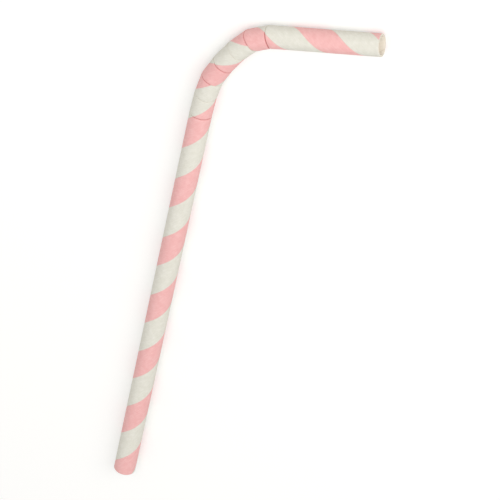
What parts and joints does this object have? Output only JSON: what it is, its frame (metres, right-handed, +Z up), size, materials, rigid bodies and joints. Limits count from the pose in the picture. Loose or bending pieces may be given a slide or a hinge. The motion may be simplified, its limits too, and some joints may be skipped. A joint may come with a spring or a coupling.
{
  "type": "paper drinking straw",
  "caption": "Striped paper drinking straw: a wound paper tube whose creased neck is bent over to the side, for sipping from a cup.",
  "frame": {"origin": "centre of the bore at the foot, the end that stands in the drink", "axes": "+Y up the straight body from the foot, +X the way the neck bends, towards the mouth, +Z up from the surface on which the straw lies"},
  "size_m": [0.0459, 0.1708, 0.006],
  "materials": {
    "striped_paper": "matte, cream paper with a pink helical stripe"
  },
  "bodies": {
    "root": {"paper_straw": "striped_paper"}
  },
  "joints": []
}
